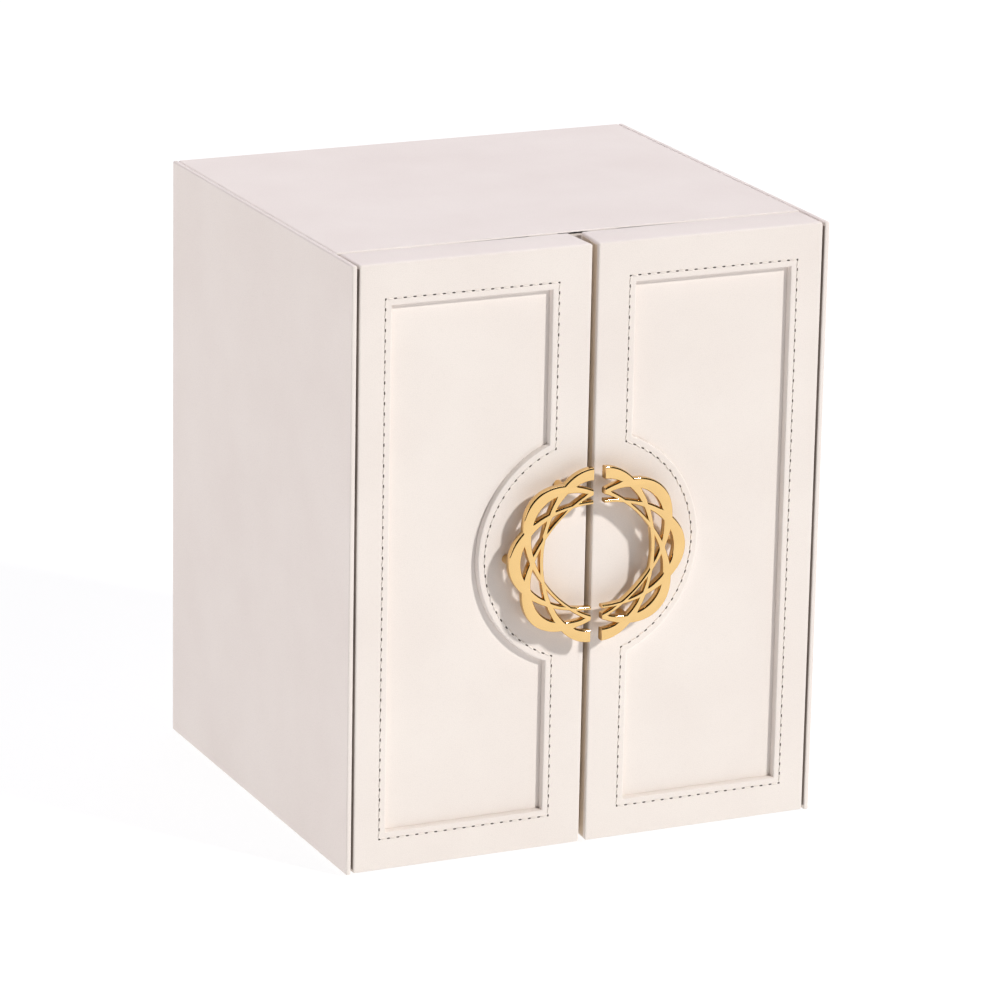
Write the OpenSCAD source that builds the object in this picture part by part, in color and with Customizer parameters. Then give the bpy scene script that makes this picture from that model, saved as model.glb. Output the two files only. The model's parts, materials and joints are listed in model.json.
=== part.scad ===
// Jewellery chest with two overlay doors, a split ring handle and five drawers.
// Sizes are in millimetres. The doors face -Y and +X is to the right.
// The origin is on the table, below the middle of the chest with its doors closed.

/* [Overall size] */
// Width over the two side boards
chest_w = 240; // [200:1:300]
// Depth from the door faces to the back
chest_d = 220; // [180:1:280]
// Height from the table to the top
chest_h = 290; // [240:1:360]

/* [Carcass boards] */
// Thickness of each covered side board
side_board_t = 2.5; // [2:0.5:5]
// Thickness of the carcass walls
wall_t = 9; // [6:0.5:14]
// Thickness of the top and bottom boards
board_t = 8; // [6:0.5:14]
// Thickness of the back board
back_t = 6; // [3:0.5:10]
// Thickness of the shelves between the drawers
shelf_t = 4; // [3:0.5:8]
// Thickness of the pad under the carcass
pad_t = 1; // [0.5:0.5:3]
// How far the pad stays inside the carcass outline
pad_inset = 3; // [1:1:10]

/* [Doors] */
// Thickness of a door
door_t = 24; // [16:1:32]
// Gap between the two doors
door_gap = 3; // [2:0.5:6]
// Gap between a door and the front edge of the carcass
door_back_gap = 0.8; // [0.4:0.2:2]
// Gap between a door and the table
door_foot_gap = 1.5; // [1:0.5:4]
// Width of the groove between a door and its side board
hinge_gap = 1; // [0.6:0.2:3]
// Distance of the hinge line in front of the door faces
hinge_front = 0.25; // [0.1:0.05:1]
// Clear space between each swinging door and the middle of the chest
swing_gap = 0.8; // [0.4:0.1:2]
// Depth of the leather fold in that groove
hinge_leather_d = 1.2; // [0.6:0.2:3]
// How far the leather fold stops short of the door ends
hinge_leather_inset = 2; // [1:1:10]
// Velvet lining on the inside of a door
lining_t = 1.2; // [0.8:0.2:3]
// How far the door lining stays inside the door outline
lining_inset = 3; // [2:1:10]

/* [Door recess] */
// Depth of the panel below the door face
recess_d = 3.2; // [1:0.1:6]
// Width of the stile beside the side board
outer_stile_w = 16; // [12:0.5:30]
// Width of the stile beside the gap between the doors
inner_stile_w = 19.5; // [12:0.5:30]
// Height of the rails above and below the recess, from the table or the top
rail_h = 19.8; // [14:0.1:30]
// Radius of the raised ground around the handle
recess_arc_r = 56; // [48:1:64]
// Thickness of the recessed panel
panel_t = 2.5; // [1.5:0.5:5]
// Play around the recessed panel
panel_play = 0.3; // [0.1:0.1:1]

/* [Ring handle] */
// Radius over the lobes
lobe_r = 42; // [36:0.5:47]
// Width of a strand at its lobe
lobe_w = 6.1; // [4:0.1:8]
// Radius over a strand at its waist
waist_r = 26.4; // [22:0.1:32]
// Width of a strand at its waist
waist_w = 1.9; // [1.5:0.1:4]
// Thickness of the ring
ring_t = 4; // [3:0.5:6]
// Gap between the two halves
ring_gap = 6; // [3:0.5:8]
// Clear space between the ring and the door
ring_standoff = 6; // [4:0.5:14]
// Radius of the posts that carry the ring
post_r = 2.2; // [2:0.1:2.6]

/* [Fasteners and catches] */
// Radius of the handle screws
screw_r = 1.2; // [1:0.1:1.5]
// Play around a screw
screw_play = 0.2; // [0.1:0.05:0.4]
// How far a screw goes into its post
screw_grip = 4; // [3:0.5:5]
// Radius of a screw head
screw_head_r = 3; // [2.5:0.5:4]
// Thickness of a screw head
screw_head_t = 1.6; // [1:0.2:2.4]
// Length of a magnet and its catch plate
magnet_l = 12; // [8:1:20]
// Height of a magnet and its catch plate
magnet_h = 4.5; // [3:0.5:6]
// Depth of a magnet
magnet_d = 3; // [2:0.5:5]
// Thickness of a catch plate
plate_t = 1.5; // [1:0.5:2]
// Play around a magnet or a catch plate
magnet_play = 0.1; // [0.05:0.05:0.3]
// Distance of a magnet's middle from the middle of the chest
magnet_x = 15; // [12:1:40]

/* [Necklace hooks] */
// Distance between neighbouring hooks
hook_pitch = 17; // [12:1:20]
// Distance of the hooks below the door top
hook_drop = 26; // [18:1:50]
// Radius of a hook's base disc
hook_base_r = 4; // [3:0.5:6]
// Thickness of a hook's base disc
hook_base_t = 1.4; // [1:0.2:2]
// Radius of a hook's stem
hook_stem_r = 1.2; // [0.8:0.1:2]
// Length of a hook's stem
hook_stem_l = 9; // [6:1:12]
// Radius of the knob at a hook's tip
hook_tip_r = 2.3; // [1.8:0.1:3]

/* [Drawers] */
// Distance of the drawer fronts behind the doors
drawer_recess = 28; // [24:1:45]
// Thickness of a drawer front
drawer_front_t = 6; // [4:0.5:10]
// Play of a drawer in its bay
drawer_play = 0.5; // [0.3:0.1:1.5]
// Gap behind a closed drawer
drawer_back_gap = 2; // [1:1:10]
// Thickness of the tray walls and floor
tray_t = 3.5; // [2:0.5:6]
// How far a tray stays below the top of its front
tray_drop = 6; // [3:1:12]
// Thickness of the velvet mat in a tray
mat_t = 1.5; // [1:0.5:3]
// Play around a mat or an insert
insert_play = 0.3; // [0.1:0.1:1]
// How far an insert stays below the top of its tray
insert_drop = 4; // [2:1:12]
// Thickness of the divider boards
divider_t = 3; // [2:0.5:5]
// Wanted distance between ring rolls
roll_pitch = 17; // [14:1:24]
// How far the ring rolls stay below the top of their tray
roll_drop = 14; // [8:1:24]
// Slot between two ring rolls
roll_gap = 1.6; // [1:0.1:4]
// Thickness of the base under the ring rolls
roll_base_t = 4; // [2:0.5:8]

/* [Drawer knobs] */
// Radius of a knob's head
knob_r = 6.5; // [4:0.5:9]
// Radius of the knob's rounded rim
knob_rim_r = 1.8; // [1:0.1:3]
// Radius of a knob's neck
knob_neck_r = 2.6; // [1.5:0.1:4]
// Length of a knob's neck
knob_neck_l = 6; // [4:0.5:10]
// Radius of a knob's rosette
rosette_r = 5; // [4:0.5:8]
// Thickness of a knob's rosette
rosette_t = 1.2; // [0.8:0.2:2]
// Radius of a knob's stud
stud_r = 1.5; // [1:0.1:2]
// Wood left in front of the end of a knob's stud
stud_stop = 1; // [0.5:0.5:2]

/* [Hidden] */
$fn = 64;
leather = [0.94, 0.90, 0.86];
velvet = [0.86, 0.79, 0.70];
gold = [0.91, 0.73, 0.40];
steel = [0.62, 0.63, 0.65];
felt = [0.72, 0.69, 0.64];

half_w = chest_w / 2;
front_y = -chest_d / 2;
back_y = chest_d / 2;
mid_z = chest_h / 2;
body_half_w = half_w - side_board_t;
carcass_front_y = front_y + door_t + door_back_gap;
floor_z = pad_t + board_t;
ceiling_z = chest_h - board_t;
bay_half_w = body_half_w - wall_t;
bay_back_y = back_y - back_t;

door_in_x = door_gap / 2;
door_out_x = body_half_w - hinge_gap;
door_back_y = front_y + door_t - lining_t;
hinge_x = (door_out_x + body_half_w) / 2;
hinge_y = front_y - hinge_front;
meet_back_x = max(
    door_in_x,
    hinge_x - sqrt(pow(hinge_x - swing_gap, 2) - pow(door_back_y - hinge_y, 2))
);
recess_in_x = door_in_x + inner_stile_w;
recess_out_x = door_out_x - outer_stile_w;
panel_front_y = front_y + recess_d;
pocket_d = recess_d + panel_t;

ring_steps = 120;
ring_turns = [0, 45, 90, 135];
notch_turn = 22.5;
ring_back_y = front_y - ring_standoff;
strand_mid_a = lobe_r - lobe_w / 2;
strand_mid_b = waist_r - waist_w / 2;
notch_r = strand_mid_a * strand_mid_b /
    sqrt(pow(strand_mid_b * cos(notch_turn), 2) + pow(strand_mid_a * sin(notch_turn), 2));
post_spots = [[strand_mid_a, 0], [notch_r, 90 - notch_turn], [notch_r, notch_turn - 90]];
screw_l = door_back_y - screw_head_t - front_y + screw_grip;

magnet_low_z = pad_t + board_t / 2;
magnet_high_z = chest_h - board_t / 2;

hook_n = 5;
hook_mid_x = (door_in_x + door_out_x) / 2;
door_inside_y = front_y + door_t;

drawer_n = 5;
bay_h = (ceiling_z - floor_z - (drawer_n - 1) * shelf_t) / drawer_n;
bay_pitch = bay_h + shelf_t;
drawer_front_y = front_y + door_t + drawer_recess;
front_h = bay_h - 2 * drawer_play;
tray_half_w = bay_half_w - drawer_play;
tray_front_y = drawer_front_y + drawer_front_t;
tray_back_y = bay_back_y - drawer_back_gap;
tray_h = front_h - tray_drop;
inner_half_w = tray_half_w - tray_t;
inner_front_y = tray_front_y + tray_t;
inner_back_y = tray_back_y - tray_t;
insert_z = tray_t + mat_t;
insert_h = tray_h - insert_z - insert_drop;
insert_half_w = inner_half_w - insert_play;
insert_front_y = inner_front_y + insert_play;
insert_back_y = inner_back_y - insert_play;
insert_d = insert_back_y - insert_front_y;
roll_n = floor((insert_d + roll_gap) / roll_pitch);
roll_step = (insert_d + roll_gap) / roll_n;
roll_r = (roll_step - roll_gap) / 2;
roll_h = tray_h - insert_z - roll_drop;
stud_l = drawer_front_t + tray_t - stud_stop;

// Box from one corner to the opposite one
module block(low, high) {
    translate(low)
    cube(high - low);
}

// Extrudes an outline drawn in X and Z from front to back
module plate(y_front, thickness) {
    translate([0, y_front + thickness, 0])
    rotate([90, 0, 0])
    linear_extrude(thickness)
    children();
}

// Round bar along Y
module rod(x, z, y_front, length, radius) {
    translate([x, y_front, z])
    rotate([-90, 0, 0])
    cylinder(h = length, r = radius);
}

// Carcass -----------------------------------------------------------------

// One pocket or one block for each magnet of a board at height z
module magnet_blocks(z, y_front, depth, play) {
    for (side = [-1, 1])
        block(
            [side * magnet_x - magnet_l / 2 - play, y_front, z - magnet_h / 2 - play],
            [side * magnet_x + magnet_l / 2 + play, y_front + depth, z + magnet_h / 2 + play]
        );
}

module magnet_pocket(z) {
    magnet_blocks(z, carcass_front_y - magnet_d, 2 * magnet_d + magnet_play, magnet_play);
}

module top_board() {
    color(leather)
    difference() {
        block([-body_half_w, carcass_front_y, ceiling_z], [body_half_w, back_y, chest_h]);
        magnet_pocket(magnet_high_z);
    }
}

module bottom_board() {
    color(leather)
    difference() {
        block([-body_half_w, carcass_front_y, pad_t], [body_half_w, back_y, floor_z]);
        magnet_pocket(magnet_low_z);
    }
}

module right_wall() {
    color(leather)
    block([bay_half_w, carcass_front_y, floor_z], [body_half_w, back_y, ceiling_z]);
}

module left_wall() {
    mirror([1, 0, 0])
    right_wall();
}

module back_board() {
    color(leather)
    block([-bay_half_w, bay_back_y, floor_z], [bay_half_w, back_y, ceiling_z]);
}

module right_side_board() {
    color(leather)
    block([body_half_w, front_y, pad_t], [half_w, back_y, chest_h]);
}

module left_side_board() {
    mirror([1, 0, 0])
    right_side_board();
}

module shelf(number) {
    z = floor_z + number * bay_pitch - shelf_t;
    color(leather)
    block([-bay_half_w, drawer_front_y, z], [bay_half_w, bay_back_y, z + shelf_t]);
}

module shelf_1() {
    shelf(4);
}

module shelf_2() {
    shelf(3);
}

module shelf_3() {
    shelf(2);
}

module shelf_4() {
    shelf(1);
}

module base_pad() {
    color(felt)
    block(
        [pad_inset - body_half_w, carcass_front_y + pad_inset, 0],
        [body_half_w - pad_inset, back_y - pad_inset, pad_t]
    );
}

module carcass_magnets() {
    color(steel)
    for (z = [magnet_low_z, magnet_high_z])
        magnet_blocks(z, carcass_front_y, magnet_d, 0);
}

module right_hinge_leather() {
    color(leather)
    block(
        [door_out_x, front_y, door_foot_gap + hinge_leather_inset],
        [body_half_w, front_y + hinge_leather_d, chest_h - hinge_leather_inset]
    );
}

module left_hinge_leather() {
    mirror([1, 0, 0])
    right_hinge_leather();
}

// Doors -------------------------------------------------------------------

// Outline of the right door seen from above; its meeting edge tapers so that both doors can swing together
module door_outline() {
    polygon([
        [door_in_x, front_y],
        [door_out_x, front_y],
        [door_out_x, door_back_y],
        [meet_back_x, door_back_y]
    ]);
}

// Outline of the recess, grown or shrunk by margin
module recess_outline(margin) {
    difference() {
        translate([recess_in_x - margin, rail_h - margin])
        square([recess_out_x - recess_in_x + 2 * margin, chest_h - 2 * rail_h + 2 * margin]);
        translate([0, mid_z])
        circle(r = recess_arc_r - margin, $fn = 180);
    }
}

// Puts children at each post of the right half ring
module at_posts() {
    for (spot = post_spots)
        translate([ring_gap / 2 + spot[0] * cos(spot[1]), 0, mid_z + spot[0] * sin(spot[1])])
        children();
}

module plate_pocket(z, depth, play) {
    block(
        [magnet_x - magnet_l / 2 - play, door_back_y - plate_t - play, z - magnet_h / 2 - play],
        [magnet_x + magnet_l / 2 + play, door_back_y + depth, z + magnet_h / 2 + play]
    );
}

module right_door_body() {
    color(leather)
    difference() {
        translate([0, 0, door_foot_gap])
        linear_extrude(chest_h - door_foot_gap)
        door_outline();
        plate(front_y - pocket_d, 2 * pocket_d)
        recess_outline(0);
        at_posts() {
            rod(0, 0, front_y - screw_grip, door_t + screw_grip, screw_r + screw_play);
            rod(0, 0, door_back_y - screw_head_t - screw_play, door_t, screw_head_r + screw_play);
        }
        plate_pocket(magnet_low_z, door_t, magnet_play);
        plate_pocket(magnet_high_z, door_t, magnet_play);
    }
}

module right_door_panel() {
    color(leather)
    plate(panel_front_y, panel_t)
    recess_outline(-panel_play);
}

module right_door_lining() {
    color(velvet)
    block(
        [meet_back_x + lining_inset, door_back_y, door_foot_gap + lining_inset],
        [door_out_x - lining_inset, door_inside_y, chest_h - lining_inset]
    );
}

module right_door_catch_plates() {
    color(steel)
    for (z = [magnet_low_z, magnet_high_z])
        plate_pocket(z, 0, 0);
}

module right_door_hooks() {
    color(gold)
    for (i = [0 : hook_n - 1])
        translate([hook_mid_x + (i - (hook_n - 1) / 2) * hook_pitch, door_inside_y, chest_h - hook_drop]) {
            rod(0, 0, 0, hook_base_t, hook_base_r);
            rod(0, 0, 0, hook_stem_l, hook_stem_r);
            translate([0, hook_stem_l, 0])
            sphere(r = hook_tip_r);
        }
}

// Points of an oval with half axes a and b
function oval(a, b) = [
    for (i = [0 : ring_steps - 1])
        [a * cos(360 * i / ring_steps), b * sin(360 * i / ring_steps)]
];

// One closed strand, wide at its two lobes and narrow at its waist
module strand() {
    difference() {
        polygon(oval(lobe_r, waist_r));
        polygon(oval(lobe_r - lobe_w, waist_r - waist_w));
    }
}

module right_handle() {
    color(gold)
    translate([ring_gap / 2, 0, mid_z])
    plate(ring_back_y - ring_t, ring_t)
    intersection() {
        for (turn = ring_turns)
            rotate(turn)
            strand();
        translate([0, -2 * lobe_r])
        square(4 * lobe_r);
    }
}

module right_handle_posts() {
    color(gold)
    difference() {
        at_posts()
        rod(0, 0, ring_back_y, ring_standoff, post_r);
        at_posts()
        rod(0, 0, front_y - screw_grip - screw_play, door_t, screw_r + screw_play / 2);
    }
}

module right_handle_screws() {
    color(steel)
    at_posts() {
        rod(0, 0, front_y - screw_grip, screw_l, screw_r);
        rod(0, 0, door_back_y - screw_head_t, screw_head_t, screw_head_r);
    }
}

module left_door_body() {
    mirror([1, 0, 0])
    right_door_body();
}

module left_door_panel() {
    mirror([1, 0, 0])
    right_door_panel();
}

module left_door_lining() {
    mirror([1, 0, 0])
    right_door_lining();
}

module left_door_catch_plates() {
    mirror([1, 0, 0])
    right_door_catch_plates();
}

module left_door_hooks() {
    mirror([1, 0, 0])
    right_door_hooks();
}

module left_handle() {
    mirror([1, 0, 0])
    right_handle();
}

module left_handle_posts() {
    mirror([1, 0, 0])
    right_handle_posts();
}

module left_handle_screws() {
    mirror([1, 0, 0])
    right_handle_screws();
}

// Drawers -----------------------------------------------------------------

// Puts children at the underside of a drawer; drawer 1 is at the top
module at_drawer(number) {
    translate([0, 0, floor_z + (drawer_n - number) * bay_pitch + drawer_play])
    children();
}

module tray(number) {
    color(velvet)
    at_drawer(number)
    difference() {
        block([-tray_half_w, tray_front_y, 0], [tray_half_w, tray_back_y, tray_h]);
        block([-inner_half_w, inner_front_y, tray_t], [inner_half_w, inner_back_y, 2 * tray_h]);
        rod(0, front_h / 2, drawer_front_y, stud_l + screw_play, stud_r + screw_play);
    }
}

module drawer_front(number) {
    color(leather)
    at_drawer(number)
    difference() {
        block([-tray_half_w, drawer_front_y, 0], [tray_half_w, tray_front_y, front_h]);
        rod(0, front_h / 2, drawer_front_y - drawer_front_t, 3 * drawer_front_t, stud_r + screw_play);
    }
}

module knob(number) {
    color(gold)
    at_drawer(number)
    translate([0, drawer_front_y, front_h / 2]) {
        rod(0, 0, 0, stud_l, stud_r);
        rod(0, 0, -rosette_t, rosette_t, rosette_r);
        rod(0, 0, -knob_neck_l, knob_neck_l, knob_neck_r);
        translate([0, -knob_neck_l, 0])
        rotate([90, 0, 0])
        rotate_extrude() {
            square([knob_r - knob_rim_r, 2 * knob_rim_r]);
            translate([knob_r - knob_rim_r, knob_rim_r])
            circle(r = knob_rim_r);
        }
    }
}

module mat(number) {
    color(velvet)
    at_drawer(number)
    block([-insert_half_w, insert_front_y, tray_t], [insert_half_w, insert_back_y, insert_z]);
}

// Crossed boards that part a tray into columns and rows
module divider(number, columns, rows) {
    cell_w = (2 * insert_half_w - divider_t) / columns;
    cell_d = (insert_d - divider_t) / rows;
    color(velvet)
    at_drawer(number)
    translate([-insert_half_w, insert_front_y, insert_z])
    for (i = [0 : columns], j = [0 : rows]) {
        translate([i * cell_w, 0, 0])
        cube([divider_t, insert_d, insert_h]);
        translate([0, j * cell_d, 0])
        cube([2 * insert_half_w, divider_t, insert_h]);
    }
}

// End of one ring roll in Y and Z: round on top, upright at its sides and flat below
module roll_outline() {
    intersection() {
        union() {
            translate([0, roll_h - roll_r])
            circle(r = roll_r);
            translate([-roll_r, -roll_r])
            square([2 * roll_r, roll_h]);
        }
        translate([-roll_r, 0])
        square([2 * roll_r, roll_h]);
    }
}

module ring_rolls(number) {
    color(velvet)
    at_drawer(number)
    translate([-insert_half_w, insert_front_y, insert_z]) {
        cube([2 * insert_half_w, insert_d, roll_base_t]);
        rotate([90, 0, 90])
        linear_extrude(2 * insert_half_w)
        for (i = [0 : roll_n - 1])
            translate([i * roll_step + roll_r, 0])
            roll_outline();
    }
}

module drawer_1_tray() {
    tray(1);
}

module drawer_1_front() {
    drawer_front(1);
}

module drawer_1_knob() {
    knob(1);
}

module drawer_1_mat() {
    mat(1);
}

module drawer_1_ring_rolls() {
    ring_rolls(1);
}

module drawer_2_tray() {
    tray(2);
}

module drawer_2_front() {
    drawer_front(2);
}

module drawer_2_knob() {
    knob(2);
}

module drawer_2_mat() {
    mat(2);
}

module drawer_2_divider() {
    divider(2, 3, 2);
}

module drawer_3_tray() {
    tray(3);
}

module drawer_3_front() {
    drawer_front(3);
}

module drawer_3_knob() {
    knob(3);
}

module drawer_3_mat() {
    mat(3);
}

module drawer_3_divider() {
    divider(3, 2, 2);
}

module drawer_4_tray() {
    tray(4);
}

module drawer_4_front() {
    drawer_front(4);
}

module drawer_4_knob() {
    knob(4);
}

module drawer_4_mat() {
    mat(4);
}

module drawer_4_divider() {
    divider(4, 2, 1);
}

module drawer_5_tray() {
    tray(5);
}

module drawer_5_front() {
    drawer_front(5);
}

module drawer_5_knob() {
    knob(5);
}

module drawer_5_mat() {
    mat(5);
}

top_board();
bottom_board();
left_wall();
right_wall();
back_board();
left_side_board();
right_side_board();
shelf_1();
shelf_2();
shelf_3();
shelf_4();
base_pad();
carcass_magnets();
left_hinge_leather();
right_hinge_leather();
left_door_body();
left_door_panel();
left_door_lining();
left_door_catch_plates();
left_door_hooks();
left_handle();
left_handle_posts();
left_handle_screws();
right_door_body();
right_door_panel();
right_door_lining();
right_door_catch_plates();
right_door_hooks();
right_handle();
right_handle_posts();
right_handle_screws();
drawer_1_tray();
drawer_1_front();
drawer_1_knob();
drawer_1_mat();
drawer_1_ring_rolls();
drawer_2_tray();
drawer_2_front();
drawer_2_knob();
drawer_2_mat();
drawer_2_divider();
drawer_3_tray();
drawer_3_front();
drawer_3_knob();
drawer_3_mat();
drawer_3_divider();
drawer_4_tray();
drawer_4_front();
drawer_4_knob();
drawer_4_mat();
drawer_4_divider();
drawer_5_tray();
drawer_5_front();
drawer_5_knob();
drawer_5_mat();
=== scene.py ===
import json
from math import atan2, cos, pi, radians, sin, sqrt

import bmesh
import bpy
from mathutils import Matrix, Vector


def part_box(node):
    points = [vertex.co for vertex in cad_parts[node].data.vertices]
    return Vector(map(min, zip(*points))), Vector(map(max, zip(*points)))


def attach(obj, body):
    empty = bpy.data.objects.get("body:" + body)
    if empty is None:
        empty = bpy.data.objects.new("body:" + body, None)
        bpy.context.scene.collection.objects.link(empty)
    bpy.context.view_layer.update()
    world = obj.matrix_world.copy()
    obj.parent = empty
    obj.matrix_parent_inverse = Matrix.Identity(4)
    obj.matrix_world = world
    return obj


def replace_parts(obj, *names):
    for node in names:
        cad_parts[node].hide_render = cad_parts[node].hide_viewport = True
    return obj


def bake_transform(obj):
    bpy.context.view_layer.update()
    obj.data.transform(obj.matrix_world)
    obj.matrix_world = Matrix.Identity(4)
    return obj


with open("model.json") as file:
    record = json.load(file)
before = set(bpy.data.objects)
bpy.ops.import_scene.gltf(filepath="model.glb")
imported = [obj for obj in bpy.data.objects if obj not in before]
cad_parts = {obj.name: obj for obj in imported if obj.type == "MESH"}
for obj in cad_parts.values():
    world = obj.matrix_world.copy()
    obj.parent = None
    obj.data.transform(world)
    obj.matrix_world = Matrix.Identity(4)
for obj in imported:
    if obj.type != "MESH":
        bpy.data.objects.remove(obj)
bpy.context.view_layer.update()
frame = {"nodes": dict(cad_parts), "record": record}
nodes = frame["nodes"]
scene = bpy.context.scene

# Sizes below are in millimetres, in the frame's axes: the doors face -Y and +Z is up.
MM = 0.001
SIDES = ("left", "right")
CHEST_H = 290
MID_Z = CHEST_H / 2
DOOR_FRONT_Y = -110
DOOR_BACK_Y = -87.2
DOOR_IN_X = 1.5
DOOR_OUT_X = 116.5
DOOR_FOOT_Z = 1.5
SIDE_BOARD_IN_X = 117.5
POCKET_D = 5.7
RECESS_IN_X = 21
RECESS_OUT_X = 100.5
RECESS_RAIL = 19.8
RECESS_ARC_R = 56
MEET_BACK_X = 3.109
MEET_TAPER = (MEET_BACK_X - DOOR_IN_X) / (DOOR_BACK_Y - DOOR_FRONT_Y)

# Camera -------------------------------------------------------------------

camera = bpy.data.objects.new("camera", bpy.data.cameras.new("camera"))
scene.collection.objects.link(camera)
camera.location = (-1.0178, -2.1996, 0.8666)
camera.rotation_euler = (radians(73.260), radians(-1.056), radians(-24.633))
camera.data.lens = 189.98
camera.data.sensor_width = 36
camera.data.clip_end = 50
scene.camera = camera
scene.view_settings.view_transform = "Standard"


# Materials ----------------------------------------------------------------


def linear(code):
    """Linear colour with alpha from an sRGB hex code."""
    values = [int(code[i : i + 2], 16) / 255 for i in (1, 3, 5)]
    return [v / 12.92 if v <= 0.04045 else ((v + 0.055) / 1.055) ** 2.4 for v in values] + [1]


def add(tree, kind, links=(), **settings):
    """Adds a shader node; a setting with a capital is a socket's value, links pair sockets and sources."""
    node = tree.nodes.new("ShaderNode" + kind)
    for name, value in settings.items():
        if name[0].isupper():
            node.inputs[name.replace("_", " ")].default_value = value
        else:
            setattr(node, name, value)
    for socket, source in dict(links).items():
        tree.links.new(source, node.inputs[socket])
    return node


def new_material(name):
    """An empty material's tree, with the coordinates of the object in metres."""
    material = bpy.data.materials.new(name)
    material.use_nodes = True
    tree = material.node_tree
    tree.nodes.clear()
    return material, tree, add(tree, "TexCoord").outputs["Object"]


def per_mm(size):
    """Texture scale whose pattern repeats at about this size in millimetres."""
    return 1 / (size * MM)


def pu_leather(name, light, dark):
    """PU leather on board: a fine pressed pebble grain, faint unevenness from its foam, low sheen, painted
    shade in the grain's creases.
    """
    material, tree, place = new_material(name)
    # The pressed pebbles are about 0.5 mm; they are drawn at 0.8 mm, as coarse as they need to show.
    pebbles = add(
        tree, "TexVoronoi", {"Vector": place}, feature="DISTANCE_TO_EDGE", Scale=per_mm(0.8)
    )
    creases = add(tree, "MapRange", {"Value": pebbles.outputs["Distance"]}, From_Max=0.18)
    pores = add(tree, "TexNoise", {"Vector": place}, Scale=per_mm(0.35), Detail=3)
    foam = add(tree, "TexNoise", {"Vector": place}, Scale=per_mm(26), Detail=2, Roughness=0.4)
    shade = add(tree, "TexNoise", {"Vector": place}, Scale=per_mm(48), Detail=3)
    tint = add(tree, "ValToRGB", {"Fac": shade.outputs["Fac"]})
    tint.color_ramp.elements[0].position = 0.3
    tint.color_ramp.elements[0].color = linear(dark)
    tint.color_ramp.elements[1].position = 0.7
    tint.color_ramp.elements[1].color = linear(light)
    # Painted shade: the grain's creases are drawn up to 4.5% darker, as the shade that falls in them.
    depth = add(tree, "MapRange", {"Value": creases.outputs["Result"]}, To_Min=0.955)
    colour = add(
        tree,
        "VectorMath",
        {0: tint.outputs["Color"], 1: depth.outputs["Result"]},
        operation="MULTIPLY",
    )
    gloss = add(tree, "MapRange", {"Value": pores.outputs["Fac"]}, To_Min=0.6, To_Max=0.72)
    cushion = add(tree, "Bump", {"Height": foam.outputs["Fac"]}, Strength=0.5, Distance=0.25 * MM)
    pitted = add(
        tree,
        "Bump",
        {"Height": pores.outputs["Fac"], "Normal": cushion.outputs["Normal"]},
        Strength=0.25,
        Distance=0.03 * MM,
    )
    grain = add(
        tree,
        "Bump",
        {"Height": creases.outputs["Result"], "Normal": pitted.outputs["Normal"]},
        Strength=0.35,
        Distance=0.03 * MM,
    )
    shader = add(
        tree,
        "BsdfPrincipled",
        {
            "Base Color": colour.outputs["Vector"],
            "Roughness": gloss.outputs["Result"],
            "Normal": grain.outputs["Normal"],
        },
        IOR=1.48,
    )
    add(tree, "OutputMaterial", {"Surface": shader.outputs["BSDF"]})
    return material


def cotton_velvet(name, light, dark):
    """Short-pile velvet: soft and matte, paler at grazing angles, with brushed patches in the pile."""
    material, tree, place = new_material(name)
    brushed = add(tree, "TexNoise", {"Vector": place}, Scale=per_mm(30), Detail=5, Roughness=0.6)
    pile = add(tree, "TexNoise", {"Vector": place}, Scale=per_mm(0.5), Detail=2)
    tint = add(tree, "ValToRGB", {"Fac": brushed.outputs["Fac"]})
    tint.color_ramp.elements[0].position = 0.35
    tint.color_ramp.elements[0].color = linear(dark)
    tint.color_ramp.elements[1].position = 0.65
    tint.color_ramp.elements[1].color = linear(light)
    fur = add(tree, "Bump", {"Height": pile.outputs["Fac"]}, Strength=0.6, Distance=0.2 * MM)
    shader = add(
        tree,
        "BsdfPrincipled",
        {"Base Color": tint.outputs["Color"], "Normal": fur.outputs["Normal"]},
        Roughness=0.9,
        IOR=1.45,
        Sheen_Weight=0.7,
        Sheen_Roughness=0.4,
        Sheen_Tint=linear("#FFF6EA"),
    )
    add(tree, "OutputMaterial", {"Surface": shader.outputs["BSDF"]})
    return material


def polished_metal(name, light, dark, smooth, rough, marks_mm):
    """Buffed metal: mirror-like, with faint patches and fine wipe marks in its gloss."""
    material, tree, place = new_material(name)
    patches = add(tree, "TexNoise", {"Vector": place}, Scale=per_mm(9), Detail=3)
    marks = add(tree, "TexNoise", {"Vector": place}, Scale=per_mm(marks_mm), Detail=4)
    tint = add(tree, "ValToRGB", {"Fac": patches.outputs["Fac"]})
    tint.color_ramp.elements[0].color = linear(dark)
    tint.color_ramp.elements[1].color = linear(light)
    gloss = add(tree, "MapRange", {"Value": marks.outputs["Fac"]}, To_Min=smooth, To_Max=rough)
    ripple = add(tree, "Bump", {"Height": patches.outputs["Fac"]}, Strength=0.15, Distance=0.05 * MM)
    shader = add(
        tree,
        "BsdfPrincipled",
        {
            "Base Color": tint.outputs["Color"],
            "Roughness": gloss.outputs["Result"],
            "Normal": ripple.outputs["Normal"],
        },
        Metallic=1,
    )
    add(tree, "OutputMaterial", {"Surface": shader.outputs["BSDF"]})
    return material


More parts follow.
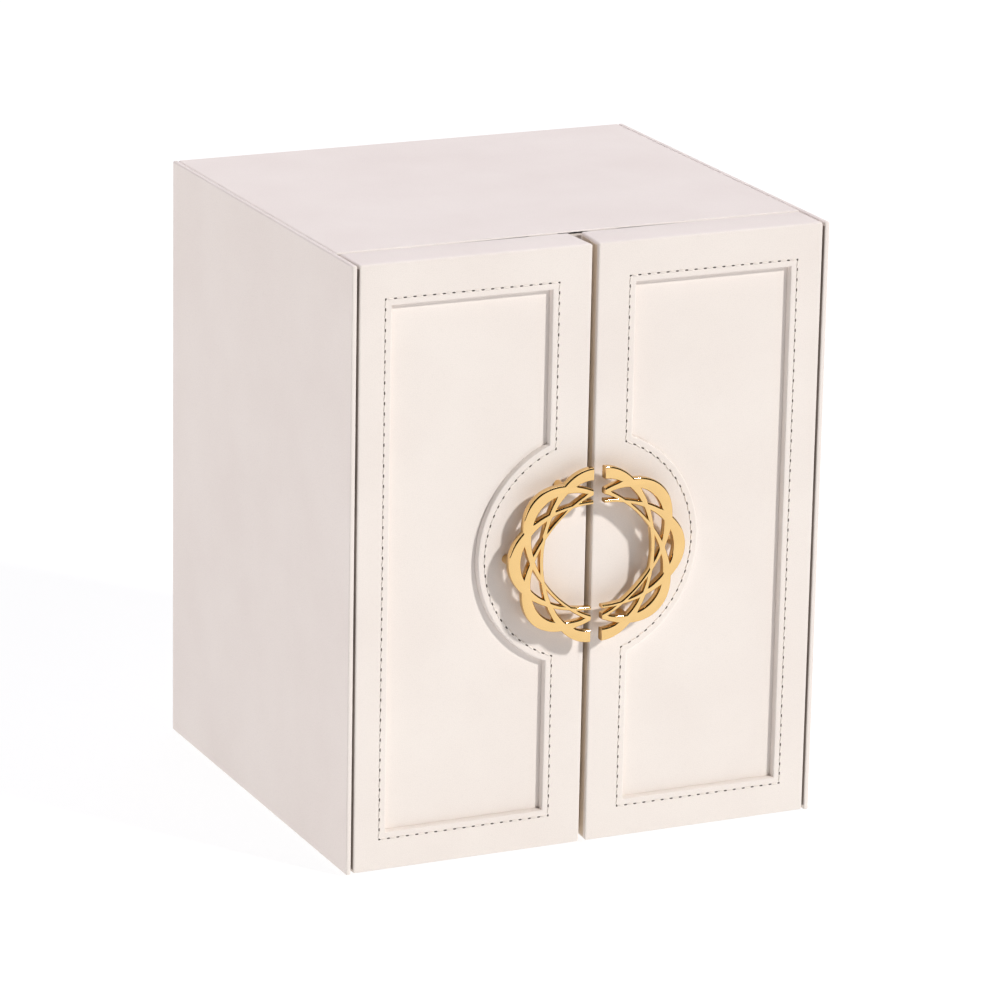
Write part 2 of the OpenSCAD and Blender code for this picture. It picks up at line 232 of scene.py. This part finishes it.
def spun_fibre(name, light, dark, fibre_mm, rough):
    """Matte fibres of thread or felt, in fine light and dark strands."""
    material, tree, place = new_material(name)
    fibres = add(tree, "TexNoise", {"Vector": place}, Scale=per_mm(fibre_mm), Detail=4)
    tint = add(tree, "ValToRGB", {"Fac": fibres.outputs["Fac"]})
    tint.color_ramp.elements[0].position = 0.3
    tint.color_ramp.elements[0].color = linear(dark)
    tint.color_ramp.elements[1].position = 0.7
    tint.color_ramp.elements[1].color = linear(light)
    strands = add(tree, "Bump", {"Height": fibres.outputs["Fac"]}, Strength=0.5, Distance=0.1 * MM)
    shader = add(
        tree,
        "BsdfPrincipled",
        {"Base Color": tint.outputs["Color"], "Normal": strands.outputs["Normal"]},
        Roughness=rough,
    )
    add(tree, "OutputMaterial", {"Surface": shader.outputs["BSDF"]})
    return material


ivory_leather = pu_leather("ivory PU leather", "#F3EBE5", "#EFE6E0")
# Painted shade: a darker leather tone for the hinge groove, standing in for the shade that falls in the
# groove.
groove_shade_leather = pu_leather("PU leather with painted groove shade", "#B4AAA3", "#9C928B")
champagne_velvet = cotton_velvet("champagne velvet", "#D9CAB8", "#D2C2AF")
gold_plate = polished_metal("gold-plated zinc", "#EFCB8E", "#E6BF80", 0.04, 0.10, 1.2)
bright_steel = polished_metal("zinc-plated steel", "#D6D8DA", "#C6C8CB", 0.42, 0.55, 0.6)
grey_felt = spun_fibre("pressed grey felt", "#A39B90", "#8C857B", 0.6, 0.95)
ivory_thread = spun_fibre("ivory polyester thread", "#F7F1EB", "#E9E0D8", 0.12, 0.6)
# Painted shade: dark colour for the discs that stand in for the shade inside the needle holes.
painted_hole_shade = spun_fibre("shaded needle hole", "#5E554F", "#4A423D", 0.3, 0.9)

FINISHES = {
    "leather": ivory_leather,
    "velvet": champagne_velvet,
    "gold": gold_plate,
    "steel": bright_steel,
    "pad": grey_felt,
}


def finish_of(node):
    """The record's material slot of a CAD node."""
    return next(p["material_slot"] for p in frame["record"]["subparts"] if p["node"] == node)


def coat(piece, material):
    """Gives every face of a piece one material."""
    piece.data.materials.clear()
    piece.data.materials.append(material)


for name, node in nodes.items():
    coat(node, FINISHES[finish_of(name)])


# Softened edges -----------------------------------------------------------


def soften(name, radius, segments=4):
    """Rounds the edges of a CAD node, as wrapped leather or sanded board has them."""
    node = nodes[name]
    weld = node.modifiers.new("joined faces", "WELD")
    weld.merge_threshold = 0.001 * MM
    bevel = node.modifiers.new("soft edges", "BEVEL")
    bevel.width = radius * MM
    bevel.segments = segments
    bevel.limit_method = "ANGLE"
    bevel.angle_limit = radians(40)
    bevel.harden_normals = True


SOFT_EDGES = {
    "top_board": 1.2,
    "bottom_board": 1.0,
    "left_wall": 0.6,
    "right_wall": 0.6,
    "back_board": 0.6,
    "left_side_board": 0.9,
    "right_side_board": 0.9,
    "base_pad": 0.3,
}
SOFT_EDGES.update({f"shelf_{i}": 0.6 for i in (1, 2, 3, 4)})
SOFT_EDGES.update({f"{side}_door_lining": 0.5 for side in SIDES})
SOFT_EDGES.update({f"{side}_door_panel": 0.15 for side in SIDES})
for part, size in (("front", 0.9), ("tray", 0.6), ("mat", 0.4)):
    SOFT_EDGES.update({f"drawer_{i}_{part}": size for i in range(1, 6)})
SOFT_EDGES.update({f"drawer_{i}_divider": 0.7 for i in (2, 3, 4)})
for name, radius in SOFT_EDGES.items():
    soften(name, radius)


# Pieces -------------------------------------------------------------------


def make_piece(name, build, material, body, sharp=35):
    """Turns a bmesh in millimetres into a piece of that body."""
    bmesh.ops.recalc_face_normals(build, faces=build.faces)
    bmesh.ops.scale(build, vec=(MM, MM, MM), verts=build.verts)
    mesh = bpy.data.meshes.new(name)
    build.to_mesh(mesh)
    build.free()
    mesh.polygons.foreach_set("use_smooth", [True] * len(mesh.polygons))
    mesh.set_sharp_from_angle(angle=radians(sharp))
    piece = bpy.data.objects.new(name, mesh)
    scene.collection.objects.link(piece)
    coat(piece, material)
    if body:
        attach(piece, body)
    return piece


def add_ring(build, points):
    """Adds one closed loop of vertices."""
    return [build.verts.new(p) for p in points]


def skin(build, rings, closed=True):
    """Joins each ring of vertices to the next with quads."""
    for a, b in zip(rings, rings[1:]):
        count = len(a)
        for i in range(count if closed else count - 1):
            j = (i + 1) % count
            build.faces.new((a[i], a[j], b[j], b[i]))


def fill_between(build, *rings):
    """Fills the flat region between closed loops of vertices."""
    edges = []
    for ring in rings:
        for i, vertex in enumerate(ring):
            other = ring[(i + 1) % len(ring)]
            edges.append(build.edges.get((vertex, other)) or build.edges.new((vertex, other)))
    bmesh.ops.triangle_fill(build, edges=edges, use_beauty=True)


def segment(start, end, count):
    """Points from start up to, but not at, end."""
    return [tuple(s + (e - s) * i / count for s, e in zip(start, end)) for i in range(count)]


def recess_loop(margin, counts=(10, 8, 24, 8, 10, 64)):
    """X and Z of the right door's recess, grown by margin: straight sides and an arc round the handle."""
    inner = RECESS_IN_X - margin
    outer = RECESS_OUT_X + margin
    low = RECESS_RAIL - margin
    high = CHEST_H - low
    arc_r = RECESS_ARC_R - margin
    rise = sqrt(arc_r**2 - inner**2)
    corners = [
        (inner, MID_Z + rise),
        (inner, high),
        (outer, high),
        (outer, low),
        (inner, low),
        (inner, MID_Z - rise),
    ]
    loop = []
    for i in range(5):
        loop += segment(corners[i], corners[i + 1], counts[i])
    half_turn = atan2(rise, inner)
    for i in range(counts[5]):
        turn = -half_turn + 2 * half_turn * i / counts[5]
        loop.append((arc_r * cos(turn), MID_Z + arc_r * sin(turn)))
    return loop


def door_outline(inset, depth, corner_r=1.2, steps=6):
    """X and Z of the right door's outline at a depth behind its face, drawn in by inset."""
    x0, x1 = DOOR_IN_X + MEET_TAPER * depth + inset, DOOR_OUT_X - inset
    z0, z1 = DOOR_FOOT_Z + inset, CHEST_H - inset
    r = max(corner_r - inset, 0.3)
    loop = []
    corners = (
        (x1 - r, z1 - r, 0),
        (x0 + r, z1 - r, 90),
        (x0 + r, z0 + r, 180),
        (x1 - r, z0 + r, 270),
    )
    for cx, cz, start in corners:
        for i in range(steps + 1):
            turn = radians(start + 90 * i / steps)
            loop.append((cx + r * cos(turn), cz + r * sin(turn)))
    return loop


def quarter_round(radius, steps=6):
    """Distance along the face and depth below it, from the wall up to the face."""
    for i in range(steps + 1):
        turn = pi / 2 * i / steps
        yield radius - radius * cos(turn), radius - radius * sin(turn)


# Leather of the door: how far it turns into the recess, its edges, and the flat bands beside the furrow.
TURN_IN = 0.25
RECESS_EDGE_R = 0.6
DOOR_EDGE_R = 0.9
BACK_EDGE_R = 0.8
FLAT_BAND = 0.8
INNER_BAND = 1.1
OUTER_BAND = 5.2

# Sewing: distance from the recess, pitch, thread, the discs of painted shade at the needle holes, and the
# furrow they lie in.
STITCH_MARGIN = 3.2
STITCH_PITCH = 4.8
THREAD_R = 0.36
THREAD_SLANT = 0.25
HOLE_R = 0.6
HOLE_STRETCH = 1.45
FURROW_D = 0.1
FURROW = ((-0.9, 0), (-0.4, 0.5), (0, 1), (0.4, 0.5), (0.9, 0))
FURROW_Y = DOOR_FRONT_Y + FURROW_D
THREAD_SINK = 0.12
THREAD_RISE = 0.32
THREAD_STEPS = 8
THREAD_CORNERS = 8
HOLE_CORNERS = 12
HOLE_SECTION = ((1, 0.12), (1, -0.03), (0.6, -0.045))


def door_cover(side):
    """A door in its leather: soft edges, a sunk field with an arc round the handle, a sewn furrow."""
    sign = 1 if side == "right" else -1
    build = bmesh.new()

    def lay(loop, depth):
        return add_ring(build, [(sign * x, DOOR_FRONT_Y + depth, z) for x, z in loop])

    section = [(-TURN_IN, POCKET_D), (-TURN_IN, 2 * RECESS_EDGE_R)]
    section += list(quarter_round(RECESS_EDGE_R))
    section += [(INNER_BAND, 0)]
    section += [(STITCH_MARGIN + reach, FURROW_D * share) for reach, share in FURROW]
    section += [(OUTER_BAND, 0)]
    field = [lay(recess_loop(margin), depth) for margin, depth in section]
    skin(build, field)
    fill_between(build, field[0])
    rim = [lay(door_outline(DOOR_EDGE_R + FLAT_BAND, 0), 0)]
    for inset, depth in reversed(list(quarter_round(DOOR_EDGE_R))):
        rim.append(lay(door_outline(inset, depth), depth))
    back = DOOR_BACK_Y - DOOR_FRONT_Y
    for inset, rise in quarter_round(BACK_EDGE_R):
        rim.append(lay(door_outline(inset, back - rise), back - rise))
    skin(build, rim)
    fill_between(build, rim[0], field[-1])
    fill_between(build, rim[-1])
    return make_piece(f"{side}_door_cover", build, ivory_leather, f"{side}_door", sharp=50)


def stitch_spots():
    """X and Z of each needle hole of the right door, round the recess."""
    spots = []
    corners = recess_loop(STITCH_MARGIN, (1, 1, 1, 1, 1, 240))
    straight, arc = corners[:5], corners[5:]
    sides = list(zip(straight, straight[1:] + arc[:1]))
    for start, end in sides:
        length = (Vector(end) - Vector(start)).length
        spots += segment(start, end, round(length / STITCH_PITCH))
    arc_r = RECESS_ARC_R - STITCH_MARGIN
    half_turn = -atan2(arc[0][1] - MID_Z, arc[0][0])
    count = round(2 * half_turn * arc_r / STITCH_PITCH)
    for i in range(count):
        turn = -half_turn + 2 * half_turn * i / count
        spots.append((arc_r * cos(turn), MID_Z + arc_r * sin(turn)))
    return spots


def stitching(side):
    """The thread, each stitch bowed out of the leather, and dark discs of painted shade at the needle
    holes.
    """
    sign = 1 if side == "right" else -1
    spots = [Vector((sign * x, 0, z)) for x, z in stitch_spots()]
    thread = bmesh.new()
    holes = bmesh.new()
    turns = [2 * pi * k / THREAD_CORNERS for k in range(THREAD_CORNERS)]
    mouth = [2 * pi * k / HOLE_CORNERS for k in range(HOLE_CORNERS)]
    for spot, following in zip(spots, spots[1:] + spots[:1]):
        along = (following - spot).normalized()
        across = along.cross(Vector((0, 1, 0)))
        length = (following - spot).length - 2 * HOLE_R
        start = spot + along * HOLE_R
        rings = []
        for i in range(THREAD_STEPS + 1):
            t = i / THREAD_STEPS
            lift = sin(pi * t)
            radius = THREAD_R * (0.35 + 0.65 * lift**0.4) if 0 < t < 1 else THREAD_R * 0.3
            centre = start + along * length * t + across * THREAD_SLANT * (1 - 2 * t)
            centre += Vector((0, FURROW_Y + THREAD_SINK - THREAD_RISE * lift, 0))
            points = [centre + across * radius * cos(a) + Vector((0, radius * sin(a), 0)) for a in turns]
            rings.append(add_ring(thread, points))
        skin(thread, rings)
        thread.faces.new(rings[0])
        thread.faces.new(rings[-1])
        # Painted shade: a dark disc lying on the leather at each needle hole stands in for the shade
        # inside it.
        rim = []
        for reach, rise in HOLE_SECTION:
            middle = spot + Vector((0, FURROW_Y + rise, 0))
            long_r = HOLE_R * HOLE_STRETCH * reach
            short_r = HOLE_R * reach
            points = [middle + along * long_r * cos(a) + across * short_r * sin(a) for a in mouth]
            rim.append(add_ring(holes, points))
        skin(holes, rim)
        holes.faces.new(rim[0])
        holes.faces.new(rim[-1])
    make_piece(f"{side}_door_thread", thread, ivory_thread, f"{side}_door")
    make_piece(f"{side}_door_painted_hole_shades", holes, painted_hole_shade, f"{side}_door")


# Ring handle: four closed strands turned by 45 degrees, cast in one piece and cut down the middle.
LOBE_R = 42
LOBE_W = 6.1
WAIST_R = 26.4
WAIST_W = 1.9
RING_GAP = 6
RING_BACK_Y = -116
RING_T = 4
RING_EDGE_R = 0.88


def strand_r(turn, outer):
    """Radius of a strand's outer or inner edge, turn radians from its lobe."""
    a = LOBE_R if outer else LOBE_R - LOBE_W
    b = WAIST_R if outer else WAIST_R - WAIST_W
    return a * b / sqrt((b * cos(turn)) ** 2 + (a * sin(turn)) ** 2)


EIGHTH = pi / 4
STRAND_TURNS = [EIGHTH * k for k in range(4)]
OUTLINE_STEPS = 400
HALVINGS = 40


def window(middle, lower, upper, steps=14):
    """Outline of one opening between two strands' edges, symmetrical about the ray at middle."""
    low, high = 0.0, EIGHTH
    for _ in range(HALVINGS):
        mid = (low + high) / 2
        if upper(mid) > lower(mid):
            low = mid
        else:
            high = mid
    turns = [low * (2 * i / steps - 1) for i in range(steps + 1)]
    outline = [(upper(abs(t)), middle + t) for t in turns]
    outline += [(lower(abs(t)), middle + t) for t in reversed(turns[1:-1])]
    return [(r * cos(a), r * sin(a)) for r, a in outline]


def ring_outlines():
    """The outer and inner outlines of the whole ring and the outlines of its openings."""
    turns = [2 * pi * i / OUTLINE_STEPS for i in range(OUTLINE_STEPS)]
    outlines = []
    for outer, pick in ((True, max), (False, min)):
        radii = [pick(strand_r(turn - t, outer) for t in STRAND_TURNS) for turn in turns]
        outlines.append([(r * cos(t), r * sin(t)) for r, t in zip(radii, turns)])
    for k in range(8):
        for start in (0, 1, 0.5):
            outlines.append(
                window(
                    (k + start % 1) * EIGHTH,
                    lambda t: strand_r((start + 1) * EIGHTH - t, True),
                    lambda t: strand_r(start * EIGHTH + t, False),
                )
            )
    return outlines


def half_ring(side):
    """Half of the openwork ring with rounded edges, cut flat at the gap between the doors."""
    sign = 1 if side == "right" else -1
    curve = bpy.data.curves.new("ring_outline", "CURVE")
    curve.dimensions = "2D"
    curve.fill_mode = "BOTH"
    curve.extrude = RING_T / 2 - RING_EDGE_R
    curve.bevel_depth = RING_EDGE_R
    curve.bevel_resolution = 3
    curve.offset = -RING_EDGE_R
    for outline in ring_outlines():
        spline = curve.splines.new("POLY")
        spline.points.add(len(outline) - 1)
        for point, (x, z) in zip(spline.points, outline):
            point.co = (x, z, 0, 1)
        spline.use_cyclic_u = True
    holder = bpy.data.objects.new("ring_outline", curve)
    scene.collection.objects.link(holder)
    solid = holder.evaluated_get(bpy.context.evaluated_depsgraph_get()).to_mesh()
    build = bmesh.new()
    build.from_mesh(solid)
    holder.to_mesh_clear()
    bpy.data.objects.remove(holder)
    bmesh.ops.remove_doubles(build, verts=build.verts, dist=0.002)
    cut = bmesh.ops.bisect_plane(
        build,
        geom=build.verts[:] + build.edges[:] + build.faces[:],
        dist=0.0001,
        plane_co=(0, 0, 0),
        plane_no=(-sign, 0, 0),
        clear_outer=True,
    )
    rim = [e for e in cut["geom_cut"] if isinstance(e, bmesh.types.BMEdge) and len(e.link_faces) == 1]
    bmesh.ops.holes_fill(build, edges=rim, sides=0)
    place = Matrix.Translation((sign * RING_GAP / 2, RING_BACK_Y - RING_T / 2, MID_Z))
    bmesh.ops.transform(build, matrix=place @ Matrix.Rotation(pi / 2, 4, "X"), verts=build.verts)
    piece = make_piece(f"{side}_half_ring", build, gold_plate, f"{side}_door", sharp=30)
    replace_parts(piece, f"{side}_handle")


def upright_strip(side, section, trim, levels):
    """A strip of the door's height, less trim at each end, with this section in X and Y."""
    sign = 1 if side == "right" else -1
    build = bmesh.new()
    rings = []
    low, high = DOOR_FOOT_Z + trim, CHEST_H - trim
    for i in range(levels + 1):
        z = low + (high - low) * i / levels
        rings.append(add_ring(build, [(sign * x, y, z) for x, y in section]))
    skin(build, rings)
    build.faces.new(rings[0])
    build.faces.new(rings[-1])
    return build


EDGE_LINING_FROM = 2.4
EDGE_LINING_TO = 20.5
EDGE_LINING_T = 0.2
EDGE_LINING_SLOPE = 0.5
EDGE_LINING_TRIM = 1.5


def edge_lining(side):
    """A strip of the velvet lining carried round onto the door's meeting edge."""
    section = []
    for depth, lift in (
        (EDGE_LINING_FROM, 0),
        (EDGE_LINING_FROM + EDGE_LINING_SLOPE, EDGE_LINING_T),
        (EDGE_LINING_TO - EDGE_LINING_SLOPE, EDGE_LINING_T),
        (EDGE_LINING_TO, 0),
        (EDGE_LINING_TO, -EDGE_LINING_T),
        (EDGE_LINING_FROM, -EDGE_LINING_T),
    ):
        section.append((DOOR_IN_X + MEET_TAPER * depth - lift, DOOR_FRONT_Y + depth))
    build = upright_strip(side, section, EDGE_LINING_TRIM, levels=40)
    make_piece(f"{side}_door_edge_lining", build, champagne_velvet, f"{side}_door")


FOLD_Y = DOOR_FRONT_Y + 0.35
FOLD_D = 2
FOLD_T = 0.3
FOLD_TRIM = 2
FOLD_STEPS = 12


def hinge_fold(side):
    """The cover leather in the groove between side board and door, built in its rest shape and not
    attached to a door.
    """
    section = []
    for i in range(FOLD_STEPS + 1):
        t = i / FOLD_STEPS
        section.append((DOOR_OUT_X + (SIDE_BOARD_IN_X - DOOR_OUT_X) * t, FOLD_Y + FOLD_D * sin(pi * t)))
    section += [(x, y + FOLD_T) for x, y in reversed(section)]
    build = upright_strip(side, section, FOLD_TRIM, levels=30)
    # The fold gets the darker leather of painted groove shade.
    piece = make_piece(f"{side}_hinge_fold", build, groove_shade_leather, None)
    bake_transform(piece)
    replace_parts(piece, f"{side}_hinge_leather")


for side in SIDES:
    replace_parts(door_cover(side), f"{side}_door_body")
    stitching(side)
    half_ring(side)
    edge_lining(side)
    hinge_fold(side)


ROLL_COUNT = 8
ROLL_GAP = 1.6
ROLL_BASE_T = 4
ROLL_FOOT = 0.5
ROLL_STATIONS = 28
ROLL_CORNERS = 22
ROLL_CLEAR = 0.15
ROLL_TOP_CLEAR = 0.3


def ring_rolls():
    """Foam rolls in velvet, side by side on a padded base, with slots that grip a ring's band."""
    low, high = [Vector(corner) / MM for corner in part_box("drawer_1_ring_rolls")]
    build = bmesh.new()
    middle = Vector(((low.x + high.x) / 2, (low.y + high.y) / 2, low.z + ROLL_BASE_T / 2))
    spread = Matrix.Diagonal((high.x - low.x, high.y - low.y, ROLL_BASE_T, 1))
    bmesh.ops.create_cube(build, size=1, matrix=Matrix.Translation(middle) @ spread)
    step = (high.y - low.y + ROLL_GAP) / ROLL_COUNT
    radius = (step - ROLL_GAP) / 2
    foot_z = low.z + ROLL_BASE_T - ROLL_FOOT
    for n in range(ROLL_COUNT):
        roll_y = low.y + radius + n * step
        rings = []
        for i in range(ROLL_STATIONS + 1):
            t = 2 * i / ROLL_STATIONS - 1
            pull = 1 - 0.10 * abs(t) ** 10
            sag = 0.12 * sin(7.3 * t + 1.7 * n) + 0.08 * sin(17.1 * t + 0.9 * n)
            top = high.z - radius - ROLL_TOP_CLEAR + sag
            half = (radius - ROLL_CLEAR) * pull
            rise = (radius + sag * 0.5) * pull
            turns = [pi * k / ROLL_CORNERS for k in range(ROLL_CORNERS + 1)]
            loop = [(roll_y + half * cos(turn), top + rise * sin(turn)) for turn in turns]
            loop += [(roll_y - half, foot_z), (roll_y + half, foot_z)]
            x = low.x + (high.x - low.x) * i / ROLL_STATIONS
            rings.append(add_ring(build, [(x, y, z) for y, z in loop]))
        skin(build, rings)
        build.faces.new(rings[0])
        build.faces.new(rings[-1])
    piece = make_piece("drawer_1_velvet_rolls", build, champagne_velvet, "drawer_1", sharp=60)
    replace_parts(piece, "drawer_1_ring_rolls")


ring_rolls()


# Floor and light ----------------------------------------------------------

FLOOR_HALF = 12
floor_mesh = bpy.data.meshes.new("floor")
floor_corners = [(x * FLOOR_HALF, y * FLOOR_HALF, 0) for x, y in ((-1, -1), (1, -1), (1, 1), (-1, 1))]
floor_mesh.from_pydata(floor_corners, [], [(0, 1, 2, 3)])
floor = bpy.data.objects.new("floor", floor_mesh)
scene.collection.objects.link(floor)
lit_white, lit_tree, lit_place = new_material("lit white acrylic")
lit_wear = add(lit_tree, "TexNoise", {"Vector": lit_place}, Scale=per_mm(300), Detail=3)
lit_gloss = add(lit_tree, "MapRange", {"Value": lit_wear.outputs["Fac"]}, To_Min=0.8, To_Max=0.9)
lit_shader = add(
    lit_tree,
    "BsdfPrincipled",
    {"Roughness": lit_gloss.outputs["Result"]},
    Base_Color=linear("#7C7C7C"),
    Emission_Color=(1, 1, 1, 1),
    Emission_Strength=0.84,
)
add(lit_tree, "OutputMaterial", {"Surface": lit_shader.outputs["BSDF"]})
coat(floor, lit_white)


def soft_light(name, direction, spread, power, colour):
    """A distant soft light from that direction; spread is its width in degrees, seen from the chest."""
    light = bpy.data.lights.new(name, "SUN")
    light.angle = radians(spread)
    light.energy = power
    light.color = linear(colour)[:3]
    holder = bpy.data.objects.new(name, light)
    scene.collection.objects.link(holder)
    holder.rotation_euler = Vector(direction).to_track_quat("Z", "Y").to_euler()


soft_light("key_light", (0.72, -1.0, 0.86), 5, 2.36, "#FFFCF8")
soft_light("top_light", (0.1, 0.3, 1.0), 50, 1.63, "#F4F2FF")
soft_light("left_light", (-1.0, 0.35, 0.3), 40, 1.1, "#FFF6F6")

world = bpy.data.worlds.new("studio")
world.use_nodes = True
scene.world = world
world_tree = world.node_tree
world_tree.nodes.clear()
sky = add(world_tree, "Background", Color=(1, 1, 1, 1), Strength=0.04)
add(world_tree, "OutputWorld", {"Surface": sky.outputs["Background"]})
